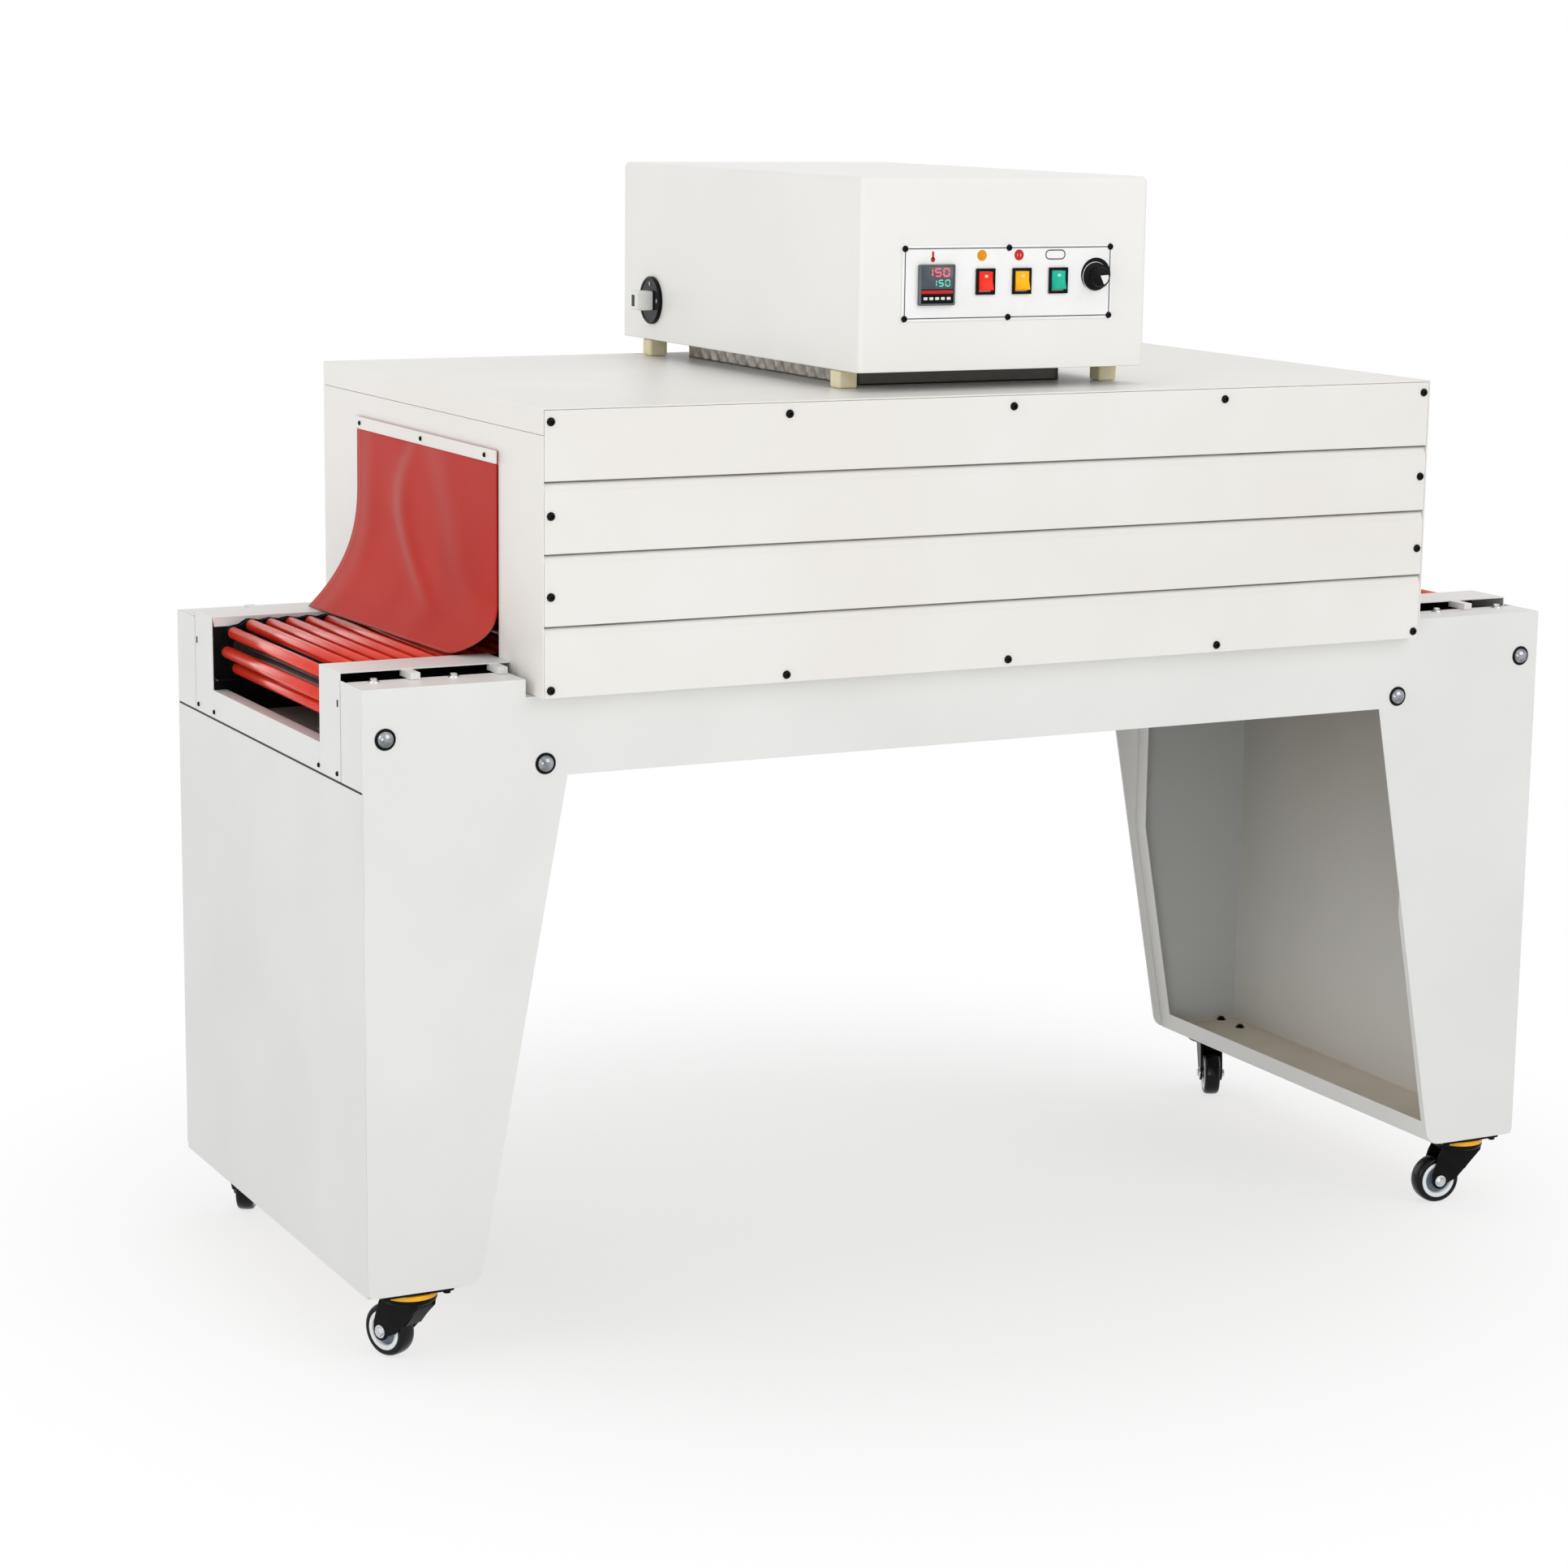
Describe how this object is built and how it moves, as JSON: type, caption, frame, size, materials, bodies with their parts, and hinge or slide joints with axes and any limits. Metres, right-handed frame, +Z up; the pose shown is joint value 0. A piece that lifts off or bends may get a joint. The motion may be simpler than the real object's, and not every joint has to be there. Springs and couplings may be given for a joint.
{
  "type": "shrink wrapping machine",
  "caption": "Heat shrink tunnel on a legged, castered base, with a live roller conveyor running through it, end curtains and a control box on top.",
  "frame": {"origin": "on the floor, under the middle of the machine's overall box; the conveyor's centre line lies 11.5 mm in front of it", "axes": "+X along the conveyor, towards the right end seen from the controls; +Y from the control side to the back; +Z up"},
  "size_m": [1.621, 0.737, 1.3542],
  "materials": {
    "white_powder_coated_steel": "satin",
    "grey_painted_steel": "satin",
    "blackened_steel": "satin",
    "galvanised_steel": "satin",
    "dark_chamber_lining": "matt",
    "red_silicone": "satin",
    "red_roller_sleeve": "satin",
    "black_plastic": "satin",
    "white_plastic": "satin",
    "cream_nylon": "satin",
    "black_rubber": "matt",
    "red_switch_plastic": "glossy",
    "amber_switch_plastic": "glossy",
    "green_switch_plastic": "glossy"
  },
  "bodies": {
    "machine": {"bed_plate": "grey_painted_steel", "caster_plate_back_left": "blackened_steel", "caster_plate_back_right": "blackened_steel", "caster_plate_front_left": "blackened_steel", "caster_plate_front_right": "blackened_steel", "chain_cover_back_left": "white_powder_coated_steel", "chain_cover_back_right": "white_powder_coated_steel", "chain_cover_front_left": "white_powder_coated_steel", "chain_cover_front_right": "white_powder_coated_steel", "chain_rail_back": "blackened_steel", "chain_rail_front": "blackened_steel", "chamber_liner": "dark_chamber_lining", "control_box": "white_powder_coated_steel", "control_box_base": "galvanised_steel", "control_plate": "white_plastic", "conveyor_tray": "grey_painted_steel", "curtain_clamp_left": "white_powder_coated_steel", "curtain_clamp_right": "white_powder_coated_steel", "curtain_left": "red_silicone", "curtain_right": "red_silicone", "end_axle_left": "grey_painted_steel", "end_axle_right": "grey_painted_steel", "end_lip_left": "white_powder_coated_steel", "end_lip_right": "white_powder_coated_steel", "fan_collar": "galvanised_steel", "isolator_plate": "black_plastic", "leg_box_left": "white_powder_coated_steel", "leg_box_right": "white_powder_coated_steel", "roller_conveyor": "red_roller_sleeve", "side_panel_back": "white_powder_coated_steel", "side_panel_front": "white_powder_coated_steel", "spacer_foot_back_left": "cream_nylon", "spacer_foot_back_right": "cream_nylon", "spacer_foot_front_left": "cream_nylon", "spacer_foot_front_right": "cream_nylon", "switch_frame_amber": "black_plastic", "switch_frame_green": "black_plastic", "switch_frame_red": "black_plastic", "temperature_controller": "black_plastic", "tunnel_end_left": "white_powder_coated_steel", "tunnel_end_right": "white_powder_coated_steel", "tunnel_panel_back": "white_powder_coated_steel", "tunnel_panel_front": "white_powder_coated_steel", "tunnel_roof": "white_powder_coated_steel"},
    "caster_front_left": {"caster_fork_front_left": "blackened_steel"},
    "wheel_front_left": {"caster_wheel_front_left": "black_rubber"},
    "caster_front_right": {"caster_fork_front_right": "blackened_steel"},
    "wheel_front_right": {"caster_wheel_front_right": "black_rubber"},
    "caster_back_left": {"caster_fork_back_left": "blackened_steel"},
    "wheel_back_left": {"caster_wheel_back_left": "black_rubber"},
    "caster_back_right": {"caster_fork_back_right": "blackened_steel"},
    "wheel_back_right": {"caster_wheel_back_right": "black_rubber"},
    "rocker_red_body": {"rocker_red": "red_switch_plastic"},
    "rocker_amber_body": {"rocker_amber": "amber_switch_plastic"},
    "rocker_green_body": {"rocker_green": "green_switch_plastic"},
    "speed_dial": {"speed_knob": "black_plastic"},
    "isolator_lever": {"isolator_handle": "white_plastic"}
  },
  "joints": [
    {"name": "swivel_front_left", "type": "hinge", "parent": "machine", "child": "caster_front_left", "pos_m": [-0.7475, -0.3115, 0.0754], "axis": [0, 0, 1], "continuous": true},
    {"name": "spin_front_left", "type": "hinge", "parent": "caster_front_left", "child": "wheel_front_left", "pos_m": [-0.76052, -0.28227, 0.0315], "axis": [-0.9135, -0.4067, 0], "continuous": true},
    {"name": "swivel_front_right", "type": "hinge", "parent": "machine", "child": "caster_front_right", "pos_m": [0.7475, -0.3115, 0.0754], "axis": [0, 0, 1], "continuous": true},
    {"name": "spin_front_right", "type": "hinge", "parent": "caster_front_right", "child": "wheel_front_right", "pos_m": [0.71574, -0.3076, 0.0315], "axis": [-0.1219, -0.9925, 0], "continuous": true},
    {"name": "swivel_back_left", "type": "hinge", "parent": "machine", "child": "caster_back_left", "pos_m": [-0.7475, 0.2885, 0.0754], "axis": [0, 0, 1], "continuous": true},
    {"name": "spin_back_left", "type": "hinge", "parent": "caster_back_left", "child": "wheel_back_left", "pos_m": [-0.73297, 0.31701, 0.0315], "axis": [-0.891, 0.454, 0], "continuous": true},
    {"name": "swivel_back_right", "type": "hinge", "parent": "machine", "child": "caster_back_right", "pos_m": [0.7475, 0.2885, 0.0754], "axis": [0, 0, 1], "continuous": true},
    {"name": "spin_back_right", "type": "hinge", "parent": "caster_back_right", "child": "wheel_back_right", "pos_m": [0.73297, 0.25999, 0.0315], "axis": [0.891, -0.454, 0], "continuous": true},
    {"name": "press_red", "type": "hinge", "parent": "machine", "child": "rocker_red_body", "pos_m": [-0.006, -0.3026, 1.2312], "axis": [1, 0, 0], "range_deg": [0, 18]},
    {"name": "press_amber", "type": "hinge", "parent": "machine", "child": "rocker_amber_body", "pos_m": [0.044, -0.3026, 1.2312], "axis": [1, 0, 0], "range_deg": [0, 18]},
    {"name": "press_green", "type": "hinge", "parent": "machine", "child": "rocker_green_body", "pos_m": [0.0945, -0.3026, 1.2312], "axis": [1, 0, 0], "range_deg": [0, 18]},
    {"name": "speed_turn", "type": "hinge", "parent": "machine", "child": "speed_dial", "pos_m": [0.147, -0.3033, 1.2352], "axis": [0, 1, 0], "range_deg": [-135, 135]},
    {"name": "isolator_turn", "type": "hinge", "parent": "machine", "child": "isolator_lever", "pos_m": [-0.1793, 0.2745, 1.1779], "axis": [1, 0, 0], "range_deg": [0, 90]}
  ]
}
